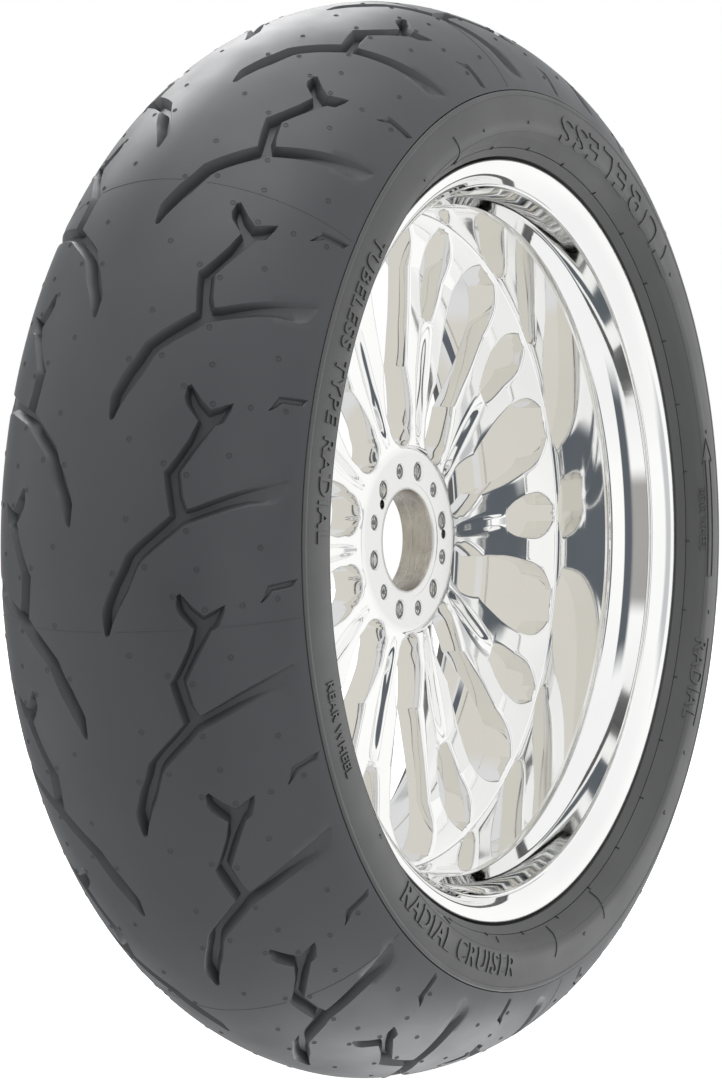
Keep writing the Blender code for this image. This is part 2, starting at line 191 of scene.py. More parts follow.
def add_rod(points, faces, sections):
    """Joins matching cross-sections into a rod with closed ends."""
    first, count = len(points), len(sections[0])
    for section in sections:
        points += section
    for here in range(first, len(points) - count, count):
        for i in range(count):
            j = (i + 1) % count
            faces.append((here + i, here + j, here + count + j, here + count + i))
    faces += [tuple(range(first, first + count)), tuple(range(len(points) - count, len(points)))]


def ring_mesh(name, outline, steps=RING_STEPS):
    """A closed (radius, across) outline turned round the wheel's axis."""
    points = []
    for step in range(steps):
        points += [wheel_point(radius, 360 * step / steps, across) for radius, across in outline]
    return make_mesh(name, points, strips(0, len(outline), steps))


def evaluated_mesh(obj):
    """The object's mesh with its modifiers or its text made real."""
    bpy.context.view_layer.update()
    return bpy.data.meshes.new_from_object(obj.evaluated_get(bpy.context.evaluated_depsgraph_get()))


def rounded(corners, steps=5):
    """A path of (radius, across, fillet) corners as points, with each fillet drawn as a short curve."""
    points = []
    count = len(corners)
    for i, (x, y, fillet) in enumerate(corners):
        here = Vector((x, y))
        if not fillet:
            points.append(tuple(here))
            continue
        before = Vector(corners[i - 1][:2]) - here
        after = Vector(corners[(i + 1) % count][:2]) - here
        reach_before = min(fillet, before.length * 0.5)
        reach_after = min(fillet, after.length * 0.5)
        start = here + before.normalized() * reach_before
        end = here + after.normalized() * reach_after
        for k in range(steps + 1):
            t = k / steps
            points.append(tuple(start * (1 - t) ** 2 + here * 2 * t * (1 - t) + end * t**2))
    return points


def clamp(value, low=0.0, high=1.0):
    return min(max(value, low), high)


def smooth_step(low, high, value):
    t = clamp((value - low) / (high - low))
    return t * t * (3 - 2 * t)


def span(places, at):
    """The index of the stretch between places that holds a position."""
    return clamp(bisect.bisect_right(places, at) - 1, 0, len(places) - 2)


def through(stations, at):
    """A smooth curve through (position, value) stations, read at one position."""
    places = [place for place, _ in stations]
    at = clamp(at, places[0], places[-1])
    i = span(places, at)

    def slope(k):
        low, high = max(k - 1, 0), min(k + 1, len(stations) - 1)
        return (stations[high][1] - stations[low][1]) / (places[high] - places[low])

    width = places[i + 1] - places[i]
    t = (at - places[i]) / width
    start, end = stations[i][1], stations[i + 1][1]
    return (
        start * (1 + 2 * t) * (1 - t) ** 2
        + end * t * t * (3 - 2 * t)
        + slope(i) * width * t * (1 - t) ** 2
        - slope(i + 1) * width * t * t * (1 - t)
    )


def straight(stations, at):
    """Straight runs through (position, value) stations."""
    places = [place for place, _ in stations]
    i = span(places, at)
    t = (at - places[i]) / (places[i + 1] - places[i])
    return stations[i][1] + (stations[i + 1][1] - stations[i][1]) * t


# ---------------------------------------------------------------- tyre section


def section_curve():
    """The outer section as rows of (length from the crown, radius, across), from crown to widest."""
    rows = []
    power = 2 / SECTION_POWER
    length = 0.0
    for i in range(1801):
        turn = math.radians(i * 0.05)
        radius = CROWN_RADIUS - SECTION_DROP * (1 - math.cos(turn) ** power)
        across = HALF_WIDTH * math.sin(turn) ** power
        if rows:
            length += math.hypot(radius - rows[-1][1], across - rows[-1][2])
        rows.append((length, radius, across))
    return rows


SECTION = section_curve()
SECTION_LENGTHS = [row[0] for row in SECTION]
RIDGE = SECTION[round(RIDGE_ANGLE / 0.05)][0]
SIDEWALL_TOP = SECTION[round(SIDEWALL_TOP_ANGLE / 0.05)][0]


def section_at(length, depth=0.0):
    """(radius, across) on one side of the section, depth mm below its surface."""
    i = span(SECTION_LENGTHS, length)
    a, b = SECTION[i], SECTION[i + 1]
    t = (length - a[0]) / (b[0] - a[0])
    along = Vector((b[1] - a[1], b[2] - a[2])).normalized()
    radius = a[1] + (b[1] - a[1]) * t - along.y * depth
    across = a[2] + (b[2] - a[2]) * t + along.x * depth
    return radius, across


def tread_point(length, degrees, depth=0.0):
    """A point on the tyre: length is positive towards the wheel's left side, which is -Y."""
    radius, across = section_at(abs(length), depth)
    return wheel_point(radius, degrees, -math.copysign(across, length))


# ---------------------------------------------------------------- tread


def flat_point(length, degrees):
    """A point of the tread in flat millimetres, with one pitch lying round the origin."""
    return Vector((length, (degrees - FLAT_ZERO) * DEGREE))


def flat_outline(outline):
    return [flat_point(length, degrees) for length, degrees in outline]


def area(outline):
    shifted = outline[1:] + outline[:1]
    return sum(a.x * b.y - b.x * a.y for a, b in zip(outline, shifted)) / 2


def room_inside(outline, index, direction):
    """How far it is from a corner of the outline across it to the other side."""
    start = outline[index] + direction * 1e-3
    end = start + direction * 60
    nearest = 60.0
    for i, a in enumerate(outline):
        b = outline[(i + 1) % len(outline)]
        if index in (i, (i + 1) % len(outline)):
            continue
        hit = intersect_line_line_2d(start, end, a, b)
        if hit is not None:
            nearest = min(nearest, (hit - start).length)
    return nearest


def floor_outline(outline, wall):
    """The groove's floor: each corner moved in along its mitre by the wall, or less where it is narrow."""
    turn = 1 if area(outline) > 0 else -1
    moved = []
    for i, here in enumerate(outline):
        before, after = outline[i - 1], outline[(i + 1) % len(outline)]
        first, second = (here - before).normalized(), (after - here).normalized()
        normals = [Vector((-side.y, side.x)) * turn for side in (first, second)]
        mitre = (normals[0] + normals[1]).normalized()
        reach = wall / max(mitre.dot(normals[0]), 0.6)
        shortest = min((here - before).length, (after - here).length)
        reach = min(reach, 0.36 * room_inside(outline, i, mitre), max(0.8 * shortest, 0.5))
        moved.append(here + mitre * reach)
    return moved


def split_ring(rings, step):
    """Divides the sides of matched outlines so that no side of the first is longer than step."""
    divided = [[] for _ in rings]
    count = len(rings[0])
    for i in range(count):
        j = (i + 1) % count
        parts = max(1, math.ceil((rings[0][j] - rings[0][i]).length / step))
        for ring, out in zip(rings, divided):
            out += [ring[i].lerp(ring[j], k / parts) for k in range(parts)]
    return divided


def groove_depth(length):
    return GROOVE_DEPTH * clamp((FADE_END - length) / FADE_LENGTH)


def distance_to(path, point):
    """How far a point is from a line through points."""
    best = 1e9
    for a, b in zip(path, path[1:]):
        side = b - a
        if side.length_squared < 1e-12:
            continue
        t = clamp((point - a).dot(side) / side.length_squared)
        best = min(best, (point - a - side * t).length)
    return best


def inside(path, point):
    """True inside a path whose last point is its first."""
    odd = False
    for a, b in zip(path, path[1:]):
        if (a.y > point.y) != (b.y > point.y):
            if point.x < a.x + (b.x - a.x) * (point.y - a.y) / (b.y - a.y):
                odd = not odd
    return odd


LIP = 0.13  # the rounded lip's share of a groove's wall
LIP_DEPTH = 0.3
ROWS = 28
COLUMNS = 20


def pitch_patch():
    """One pitch of one side of the tread: (length, degrees, depth) points and triangles."""
    points, depths, edges = [], [], []

    def add_ring(ring, depth_at):
        first = len(points)
        points.extend(ring)
        depths.extend(depth_at(point) for point in ring)
        count = len(ring)
        edges.extend((first + i, first + (i + 1) % count) for i in range(count))

    tops = []
    for outline, wall, depth_at in (
        (flat_outline(MAIN_GROOVE), GROOVE_WALL, lambda point: groove_depth(point.x)),
        (flat_outline(SLASH), 1.6, lambda point: SLASH_DEPTH),
    ):
        floor = floor_outline(outline, wall)
        lip = [a.lerp(b, LIP) for a, b in zip(outline, floor)]
        top, lip, floor = split_ring([outline, lip, floor], 4.5)
        add_ring(top, lambda point: 0.0)
        add_ring(lip, lambda point: min(LIP_DEPTH, 0.5 * LIP * depth_at(point)))
        add_ring(floor, depth_at)
        tops.append(top + top[:1])

    grid = {}
    for i in range(ROWS + 1):
        length = RIDGE * i / ROWS
        low = straight(PITCH_EDGE, length)
        for j in range(COLUMNS + 1):
            point = flat_point(length, low + PITCH * j / COLUMNS)
            on_edge = i in (0, ROWS) or j in (0, COLUMNS)
            clear = all(not inside(top, point) and distance_to(top, point) > 2.2 for top in tops)
            if on_edge or clear:
                grid[i, j] = len(points)
                points.append(point)
                depths.append(0.0)
    border = [grid[i, 0] for i in range(ROWS)] + [grid[ROWS, j] for j in range(COLUMNS)]
    border += [grid[i, COLUMNS] for i in range(ROWS, 0, -1)] + [grid[0, j] for j in range(COLUMNS, 0, -1)]
    edges += zip(border, border[1:] + border[:1])
    found = delaunay_2d_cdt(points, edges, [], 1, 1e-4)
    flat, faces, origins = found[0], found[2], found[3]
    depth = [depths[origin[0]] if origin else 0.0 for origin in origins]
    patch = [(point.x, point.y / DEGREE + FLAT_ZERO, deep) for point, deep in zip(flat, depth)]
    return patch, faces


def cad_outline(node):
    """The closed (radius, across) outline of a turned CAD node, in mm, read from its own mesh."""
    mesh = frame["nodes"][node].data
    place, links = {}, {}
    for vertex in mesh.vertices:
        x, y, z = (value / MM for value in vertex.co)
        if abs(z) < 1e-3 and x > 0:
            place[vertex.index] = (round(x, 3), round(y, 3))
    for edge in mesh.edges:
        a, b = edge.vertices
        if a in place and b in place and place[a] != place[b]:
            links.setdefault(place[a], set()).add(place[b])
            links.setdefault(place[b], set()).add(place[a])
    start = max(links)
    outline, previous, here = [start], None, start
    while True:
        onward = [point for point in sorted(links[here]) if point != previous]
        previous, here = here, onward[0]
        if here == start:
            return outline
        outline.append(here)


def make_tread():
    patch, triangles = pitch_patch()
    points, faces = [], []
    for side, shift in ((1, 0.0), (-1, HALF_PITCH)):
        for k in range(PITCHES):
            first = len(points)
            turn = shift + k * PITCH
            points += [tread_point(side * x, degrees + turn, deep) for x, degrees, deep in patch]
            faces += [tuple(first + i for i in face) for face in triangles]
    inner = [point for point in cad_outline("tread_band") if is_inner(point)]
    inner.sort(key=lambda point: point[1])
    edge_left = section_at(RIDGE)
    path = [(edge_left[0], -edge_left[1]), *inner, edge_left]
    steps = PITCHES * COLUMNS
    low = straight(PITCH_EDGE, RIDGE)
    first = len(points)
    for step in range(steps):
        points += [wheel_point(radius, low + 360 * step / steps, across) for radius, across in path]
    faces += strips(first, len(path), steps, closed=False)
    mesh = make_mesh("tyre_tread", points, faces)
    return add_object("tyre_tread", mesh, "tread", replaces=["tread_band"])


def is_inner(point):
    """True for the points of the tread's outline that lie well below its outer section."""
    radius, across = point
    nearest = min(math.hypot(radius - row[1], abs(across) - row[2]) for row in SECTION[::10])
    return nearest > 3.0


def make_vent_marks():
    """The small rings that the mould's vents leave on the rubber, each with a nub in the middle."""
    sides, nub_sides = 10, 5
    ring = [(VENT_RING - VENT_HALF, 0.2), (VENT_RING + VENT_HALF, 0.2), (VENT_RING, -0.28)]
    points, faces = [], []

    def add_circle(length, degrees, section, sides):
        """Points at each (distance from the mark's middle, depth) of a section, all the way round."""
        for i in range(sides):
            turn = math.tau * i / sides
            for out, depth in section:
                shift = out * math.sin(turn) / section_at(abs(length))[0] * 180 / math.pi
                points.append(tread_point(length + out * math.cos(turn), degrees + shift, depth))

    for side, shift in ((1, 0.0), (-1, HALF_PITCH)):
        for k in range(PITCHES):
            for length, degrees in VENT_MARKS:
                mark = side * length, degrees + shift + k * PITCH
                faces += strips(len(points), len(ring), sides)
                add_circle(*mark, ring, sides)
                tip = len(points)
                add_circle(*mark, [(0.0, -0.35), (0.0, 0.2)], 1)
                add_circle(*mark, [(0.42, 0.1)], nub_sides)
                for i in range(nub_sides):
                    a, b = tip + 2 + i, tip + 2 + (i + 1) % nub_sides
                    faces += [(tip, a, b), (tip + 1, b, a)]
    mesh = make_mesh("tread_vent_marks", points, faces)
    return add_object("tread_vent_marks", mesh, "tread")


def in_groove(length, degrees):
    """True where a point of the tread lies in a groove or close to its lip."""
    shift = 0.0 if length >= 0 else HALF_PITCH
    for outline in (MAIN_GROOVE, SLASH):
        flat = flat_outline(outline + outline[:1])
        for k in (-1, 0, 1, 2):
            point = flat_point(abs(length), (degrees - shift) % PITCH + 180 + k * PITCH - PITCH)
            if inside(flat, point) or distance_to(flat, point) < 0.8:
                return True
    return False


def make_parting_lines():
    """The fine raised lines where the mould's segments meet, broken at the grooves."""
    points, faces = [], []
    half_wide, tall, step = 0.28, 0.16, 2.0
    count = int(RIDGE / step)

    def section(length, degrees):
        lean = half_wide / section_at(abs(length))[0] * 180 / math.pi
        corners = ((degrees - lean, 0.15), (degrees + lean, 0.15), (degrees, -tall))
        return [tread_point(length, turn, depth) for turn, depth in corners]

    for k in range(round(360 / PARTING_STEP)):
        degrees = PARTING_FIRST + k * PARTING_STEP
        run = []
        for i in range(-count, count + 2):
            length = i * step
            if i <= count and not in_groove(length, degrees):
                run.append(length)
                continue
            if len(run) > 2:
                add_rod(points, faces, [section(length, degrees) for length in run])
            run = []
    mesh = make_mesh("tread_parting_lines", points, faces)
    return add_object("tread_parting_lines", mesh, "tread")


# ---------------------------------------------------------------- sidewalls

BEAD_LINE = [  # from the widest point to the rim line, (radius, across)
    (251.6, 101.6), (248.6, 101.0), (245.4, 99.2), (242.6, 96.4), (240.2, 93.0), (238.4, 90.4),
]


def side_curve():
    """The sidewall's outer section from its top to the rim line: rows of (length, radius, across)."""
    rows = []
    length = SIDEWALL_TOP
    while length < SECTION[-1][0]:
        rows.append((length, *section_at(length)))
        length += 1.0
    for radius, across in BEAD_LINE[1:]:
        length = rows[-1][0] + math.hypot(radius - rows[-1][1], across - rows[-1][2])
        rows.append((length, radius, across))
    return rows


SIDE = side_curve()
SIDE_LENGTHS = [row[0] for row in SIDE]


def side_at(length, height=0.0):
    """(radius, across) on the sidewall, height mm above it; length goes on from the tread's."""
    i = span(SIDE_LENGTHS, length)
    a, b = SIDE[i], SIDE[i + 1]
    before, after = SIDE[max(i - 1, 0)], SIDE[min(i + 2, len(SIDE) - 1)]
    t = (length - a[0]) / (b[0] - a[0])
    first = Vector((b[1] - before[1], b[2] - before[2])).normalized()
    second = Vector((after[1] - a[1], after[2] - a[2])).normalized()
    along = first.lerp(second, t).normalized()
    return a[1] + (b[1] - a[1]) * t + along.y * height, a[2] + (b[2] - a[2]) * t - along.x * height


RING_LINE = 158.4
SIDE_LINES = [  # fine moulded lines: (length, half width, height)
    (SIDEWALL_TOP + 1.6, 1.5, 0.7),
    (146.0, 0.35, 0.3),
    (RING_LINE, 0.45, 0.6),
    (165.0, 0.5, 0.4),
]


def side_height(length):
    """The moulded lines' height above the plain sidewall."""
    height = 0.0
    for middle, half, tall in SIDE_LINES:
        share = abs(length - middle) / half
        if share < 1:
            height = max(height, tall * math.sqrt(1 - share * share))
    return height


def make_sidewalls():
    lengths = set()
    length = SIDE_LENGTHS[0]
    while length < SIDE_LENGTHS[-1]:
        lengths.add(round(length, 3))
        length += 1.6
    lengths.add(SIDE_LENGTHS[-1])
    for middle, half, _ in SIDE_LINES:
        lengths |= {round(middle + half * share, 3) for share in (-1.01, -0.95, -0.6, 0, 0.6, 0.95, 1.01)}
    lengths = sorted(x for x in lengths if SIDE_LENGTHS[0] <= x <= SIDE_LENGTHS[-1])
    outer = [side_at(x, side_height(x)) for x in lengths]
    for side, name in ((-1, "left"), (1, "right")):
        node = "sidewall_" + name
        cad = cad_outline(node)
        cad = [(radius, abs(across)) for radius, across in cad]
        inner = [point for point in cad if side_depth(point) > 1.6]
        inner.sort(key=lambda point: point[0])
        outline = [(radius, side * across) for radius, across in outer + inner]
        mesh = ring_mesh("tyre_" + node, outline)
        add_object("tyre_" + node, mesh, "sidewall", replaces=[node])


def side_depth(point):
    radius, across = point
    return min(math.hypot(radius - row[1], across - row[2]) for row in SIDE)


LETTER_HEIGHT = 0.8
LETTER_ROOT = -0.4
SIDE_WORDS = [  # words, middle angle, length of their middle, letter size, stretch, tops outward
    ("TUBELESS", 65.0, 137.5, 24.0, 1.6, False),
    ("RADIAL CRUISER", -114.0, 136.0, 17.5, 1.02, False),
    ("REAR WHEEL", 3.4, 148.5, 6.5, 1.0, True),
    ("RADIAL", -22.0, 145.0, 14.0, 1.1, True),
    ("TUBELESS TYPE RADIAL", 160.0, 135.0, 13.0, 1.2, False),
    ("REAR WHEEL", 203.0, 133.0, 8.0, 1.1, False),
]
SIDE_STROKES = [  # raised lines: width, points as (angle, length)
    (0.9, ((-5.5, 139.8), (12.6, 139.8), (12.2, 137.2), (16.0, 142.0), (12.2, 146.8), (12.6, 144.2),
           (-5.5, 144.2), (-5.5, 139.8))),
    (0.9, ((-15.0, 137.0), (-29.0, 137.0))),
    (0.8, ((-68.1, 157.6), (-68.4, 150.0), (-69.6, 138.0))),
    (0.8, ((-83.0, 157.6), (-83.4, 150.0), (-85.4, 137.0))),
    (0.8, ((114.3, 157.6), (114.9, 148.0), (116.4, 133.5))),
    (0.8, ((-116.6, 153.0), (-116.0, 148.0))),
    (0.8, ((-98.7, 157.6), (-99.9, 152.0))),
]
SIDE_DOTS = (108, 95, 80, 68, 44, 17, -11, -34, -45, -76, -140, 172, 126)
RING_NUBS = 32
PAINTED_SHADE_EDGE = 0.62  # letter edges turned farther from the wheel's axis than this get the darker, matt inner rubber as painted shade


def word_mesh(words, size):
    """The flat letters of some words as a mesh, cut into bands so that they can bend."""
    curve = bpy.data.curves.new("words", "FONT")
    curve.body = words
    curve.size = size
    curve.align_x = "CENTER"
    curve.align_y = "CENTER"
    curve.extrude = 0.5
    curve.offset = 0.012 * size
    curve.resolution_u = 3
    curve.space_character = 1.12
    guide = in_scene("words", curve)
    mesh = evaluated_mesh(guide)
    bpy.data.objects.remove(guide, do_unlink=True)
    work = bmesh.new()
    work.from_mesh(mesh)
    bmesh.ops.remove_doubles(work, verts=work.verts, dist=1e-4)
    bands = 8
    for k in range(-bands, bands):
        level = (k + 0.5) * size / bands
        geometry = list(work.verts) + list(work.edges) + list(work.faces)
        bmesh.ops.bisect_plane(work, geom=geometry, plane_co=(0, level, 0), plane_no=(0, 1, 0))
    bmesh.ops.triangulate(work, faces=work.faces)
    work.to_mesh(mesh)
    work.free()
    return mesh


def bend_onto_side(mesh, side, degrees, middle, stretch, outward):
    """Lays flat letters on a sidewall. Seen from that side, tops outward reads clockwise."""
    base = side_at(middle)[0]
    way = (-1 if outward else 1) * (1 if side < 0 else -1)
    for vertex in mesh.vertices:
        x, y, z = vertex.co
        length = middle + (-y if outward else y)
        radius, across = side_at(length, LETTER_HEIGHT if z > 0 else LETTER_ROOT)
        turn = degrees + way * stretch * x / base * 180 / math.pi
        vertex.co = wheel_point(radius, turn, side * across)


def add_stroke(points, faces, side, width, path, height=0.6):
    """A raised line on a sidewall through points (angle, length), with a ridge along its middle."""
    dense = []
    for (a, b), (c, d) in zip(path[:-1], path[1:]):
        steps = max(1, math.ceil(max(abs(c - a) / 0.8, abs(d - b) / 3.0)))
        dense += [(a + (c - a) * k / steps, b + (d - b) * k / steps) for k in range(steps)]
    dense.append(path[-1])
    sections = []
    for i, (degrees, length) in enumerate(dense):
        before, after = dense[max(i - 1, 0)], dense[min(i + 1, len(dense) - 1)]
        per_degree = side_at(length)[0] * math.pi / 180
        way = Vector(((after[0] - before[0]) * per_degree, after[1] - before[1]))
        way = way.normalized() if way.length > 1e-9 else Vector((1.0, 0.0))
        section = []
        for share, tall in ((-1, -0.3), (-0.45, height), (0.45, height), (1, -0.3)):
            turn = degrees - way.y * share * width / 2 / per_degree
            radius, across = side_at(length + way.x * share * width / 2, tall)
            section.append(wheel_point(radius, turn if side < 0 else 180 - turn, side * across))
        sections.append(section)
    add_rod(points, faces, sections)


def join_meshes(name, meshes):
    work = bmesh.new()
    for mesh in meshes:
        work.from_mesh(mesh)
        bpy.data.meshes.remove(mesh)
    bmesh.ops.recalc_face_normals(work, faces=work.faces)
    mesh = bpy.data.meshes.new(name)
    work.to_mesh(mesh)
    work.free()
    return mesh


def make_words():
    for side, name in ((-1, "left"), (1, "right")):
        meshes = []
        for words, degrees, middle, size, stretch, outward in SIDE_WORDS:
            mesh = word_mesh(words, size)
            seen = degrees if side < 0 else 180 - degrees
            bend_onto_side(mesh, side, seen, middle, stretch, outward)
            meshes.append(mesh)
        strokes = list(SIDE_STROKES)
        strokes += [(2.4, ((turn - 0.25, 140.0), (turn + 0.25, 140.0))) for turn in SIDE_DOTS]
        nubs = [360.0 * k / RING_NUBS for k in range(RING_NUBS)]
        strokes += [(0.8, ((turn, RING_LINE - 0.8), (turn, RING_LINE + 2.0))) for turn in nubs]
        points, faces = [], []
        for width, path in strokes:
            add_stroke(points, faces, side, width, path)
        mesh = bpy.data.meshes.new("strokes")
        mesh.from_pydata(points, [], faces)
        meshes.append(mesh)
        mesh = join_meshes("sidewall_words_" + name, meshes)
        add_object("sidewall_words_" + name, mesh, "sidewall")
        # The steep side faces of the letters and raised lines take the darker inner rubber: painted shade
        # along their edges.
        mesh.materials.append(materials["inner"])
        for face in mesh.polygons:
            if abs(face.normal.y) < PAINTED_SHADE_EDGE:
                face.material_index = 1


# ---------------------------------------------------------------- hidden tyre layers


def make_layers():
    """The tyre's inner layers and its rim strips, turned smoothly from the CAD outlines."""
    cord, inner = ("steel_cord", "bead_steel"), ("inner", "inner_rubber")
    looks = {"steel_belt": cord, "carcass_ply": ("ply", "ply_cord"), "inner_liner": inner}
    outer = ("sidewall", "sidewall_rubber")
    for node, look in (("bead_core", cord), ("bead_filler", inner), ("chafer", outer)):
        looks |= {node + "_left": look, node + "_right": look}
    for node, (material, slot) in looks.items():
        mesh = ring_mesh("round_" + node, cad_outline(node), RING_STEPS // 2)
        add_object("round_" + node, mesh, material, replaces=[node])


# ---------------------------------------------------------------- rim

RIM_HUB_SIDE = [  # one side, from the middle to the flange: radius, across, fillet
    (203.4, 0, 0), (203.4, 9, 4), (204.9, 44.4, 0.6), (204.3, 45.6, 0.6), (204.8, 48.8, 0.8),
    (210.1, 57.4, 2), (211.8, 62, 3), (214.6, 71.6, 0.8), (214.9, 73.4, 0.6), (215.9, 74, 0.3),
    (216.3, 74.7, 0.4), (221.6, 80.6, 6), (226.6, 83.7, 3.5), (230.9, 84, 2.4),
]
RIM_TYRE_SIDE = [  # from the flange back to the middle
    (230.6, 79.0, 2.0), (227.4, 76.2, 1.5), (218.3, 76.2, 2.0), (218.3, 58.0, 2.0), (208.5, 46.0, 4.0),
    (208.5, 0.0, 0),
]


def rim_outline():
    one_side = RIM_HUB_SIDE + RIM_TYRE_SIDE
    other = [(radius, -across, fillet) for radius, across, fillet in one_side[::-1]]
    return rounded(one_side[1:-1] + other[1:-1], 6)


def turned_solid(name, outline, place, steps=SMALL_STEPS, reach=None):
    """A closed solid turned about place's Z axis, from (radius, along) mm; open ends lie on the axis.

    A corner with a third value of 1 takes its radius from reach(radius, step).
    """
    points = []
    for step in range(steps):
        turn = math.tau * step / steps
        for radius, along, *shaped in outline:
            out = reach(radius, step) if shaped and shaped[0] else radius
            points.append(place @ metres((out * math.cos(turn), out * math.sin(turn), along)))
    faces = strips(0, len(outline), steps, closed=outline[0][0] > 0)
    return make_mesh(name, points, faces, 1e-6, 1e-7)


def apply_boolean(mesh, tools, operation):
    """The mesh after cutting or joining each tool mesh."""
    base = in_scene("base", mesh)
    cutters = bpy.data.collections.new("tools")
    bpy.context.scene.collection.children.link(cutters)
    for tool in tools:
        cutters.objects.link(bpy.data.objects.new("tool", tool))
    modifier = base.modifiers.new("Cut", "BOOLEAN")
    modifier.operation = operation
    modifier.solver = "EXACT"
    modifier.operand_type = "COLLECTION"
    modifier.collection = cutters
    result = evaluated_mesh(base)
    for obj in [base, *cutters.objects]:
        bpy.data.objects.remove(obj, do_unlink=True)
    bpy.data.collections.remove(cutters)
    return result


VALVE_ANGLE = 180.0 + 180.0 / 28
VALVE_ACROSS = -28.0
VALVE_FLAT = 204.0 * math.cos(math.pi / 28)


def valve_place():
    """The valve's own axes: Z runs from the rim's well towards the hub."""
    turn = math.radians(VALVE_ANGLE)
    inward = Vector((-math.cos(turn), 0.0, -math.sin(turn)))
    rotation = inward.to_track_quat("Z", "Y").to_matrix().to_4x4()
    return Matrix.Translation(metres(-inward * VALVE_FLAT) + metres((0, VALVE_ACROSS, 0))) @ rotation


def make_rim():
    mesh = ring_mesh("wheel_rim", rim_outline())
    place = valve_place()
    pad = [(0, -4), (9.5, -4), (9.5, -0.6), (8.9, 0), (0, 0)]
    hole = [(0, -30), (9.6, -30), (9.6, -4.48), (4.6, -4.48), (4.6, 3), (0, 3)]
    mesh = apply_boolean(mesh, [turned_solid("pad", pad, place)], "UNION")
    mesh = apply_boolean(mesh, [turned_solid("hole", hole, place)], "DIFFERENCE")
    mesh.name = "wheel_rim"
    add_object("wheel_rim", mesh, "chrome", replaces=["rim_barrel"])


# ---------------------------------------------------------------- spoke disc

SECTOR = 36.0
HALF_SECTOR = 18.0
FORK_AXIS = 5.2  # the middle of the first fork window; main windows lie half a sector on
BORE_RADIUS = 30.7
DISC_EDGE = 203.9
MAIN_TIP = 59.0
MAIN_END = 200.6
FORK_TIP = 142.0
FORK_END = 200.6
MAIN_ROUND = (72.0, 13.0)
MAIN_INNER = [(72.0, 13.0), (80.0, 15.5), (90.0, 15.7), (100.0, 14.7), (108.0, 13.2)]
MAIN_OUTER = [
    (108.0, 13.2), (114.0, 14.9), (130.0, 18.2), (140.0, 20.3), (152.0, 22.1), (165.0, 23.5),
    (176.0, 24.1), (184.0, 23.4), (190.0, 21.2), (196.0, 16.2), (200.2, 10.8),
]
FORK_HALF = [
    (142.4, 4.6), (145.0, 6.8), (154.5, 10.4), (165.0, 12.7), (178.0, 14.7), (185.0, 14.9), (190.0, 13.4),
    (195.0, 10.2), (200.2, 5.4),
]
FACE = [  # how far the front stands out from the centre plane, along a radius
    (30.7, 9.0), (55.4, 9.0), (57.0, 8.6), (58.6, 7.9), (61.0, 7.5), (80.0, 5.7), (110.0, 3.8),
    (150.0, 2.5), (171.0, 2.4),
]
FLARE = [(171.0, 2.4), (180.0, 4.4), (190.0, 6.6), (198.0, 8.0), (202.6, 8.3), (203.3, 8.7), (203.9, 9.6)]
BACK = [(30.7, 14.0), (55.4, 14.0), (58.0, 13.2), (62.0, 13.0), (203.9, 13.0)]
SATIN_EDGE = (53.0, 59.0)
VALLEY_START = 61.0
VALLEY_END = 140.5
VALLEY_DEEP = [(61.0, 0.0), (68.0, 3.4), (76.0, 5.2), (100.0, 5.4), (130.0, 4.6), (138.0, 1.4), (140.5, 0.0)]
VALLEY_FLOOR = [(61.0, 0.4), (70.0, 1.4), (84.0, 2.2), (140.5, 1.9)]
VALLEY_WALL = [(61.0, 2.2), (76.0, 3.0), (100.0, 3.9), (140.5, 3.4)]
EDGE_ROLL = 1.7
BACK_ROLL = 1.2
EDGE_COLUMNS = (0.0, 0.18, 0.6, 1.2, 2.0)
MIDDLE_COLUMNS = 8


def main_half(radius):
    """Half the width of a main window."""
    if radius <= MAIN_TIP or radius >= MAIN_END:
        return 0.0
    centre, reach = MAIN_ROUND
    if radius < centre:
        return math.sqrt(max(reach**2 - (centre - radius) ** 2, 0.0))
    if radius > MAIN_OUTER[-1][0]:
        return MAIN_OUTER[-1][1]
    return through(MAIN_INNER if radius < MAIN_INNER[-1][0] else MAIN_OUTER, radius)


def fork_half(radius):
    if radius <= FORK_TIP or radius >= FORK_END:
        return 0.0
    return through(FORK_HALF, radius)


def disc_radii():
    """The radii where the disc is sampled, closer at ends and creases."""
    radii = {30.7, 35.0, 40.0, 46.0, 51.0, 54.0, 55.4, 56.2, 57.0, 57.8, 58.5, MAIN_TIP}
    radii |= {59.08, 59.3, 59.7, 60.3, 61.1, 62.1, 63.3, 64.7, 66.3, 68.0, 70.0}
    radii |= {72.0 + 2.4 * i for i in range(15)} | {107.6, 108.0, 108.5}
    radii |= {110.6 + 2.5 * i for i in range(12)} | {139.5, 140.5, FORK_TIP, 142.4, 143.1, 144.1, 145.6}
    radii |= {148.0 + 2.6 * i for i in range(9)} | {170.5, 171.0, 171.5, 173.0}
    radii |= {175.5 + 2.5 * i for i in range(10)} | {199.6, 200.2, MAIN_END, 201.2, 201.8, 202.4, 203.0}
    return sorted(radii | {203.5, DISC_EDGE})


def disc_point(radius, turn):
    return Vector((radius * math.cos(turn), radius * math.sin(turn)))


def half_outlines():
    """The two windows' edges in the half sector, as flat points: radius along x."""
    edge = math.radians(HALF_SECTOR)
    main = [radius for radius in disc_radii() if MAIN_TIP <= radius <= MAIN_END]
    fork = [radius for radius in disc_radii() if FORK_TIP <= radius <= FORK_END]
    return [
        [disc_point(radius, edge - math.asin(min(main_half(radius) / radius, 1.0))) for radius in main],
        [disc_point(radius, math.asin(fork_half(radius) / radius)) for radius in fork],
    ]


def roll(distance, size):
    """How far a rounded edge has dropped, at a distance in from it."""
    if distance >= size:
        return 0.0
    return size - math.sqrt(max(size**2 - (size - distance) ** 2, 0.0))


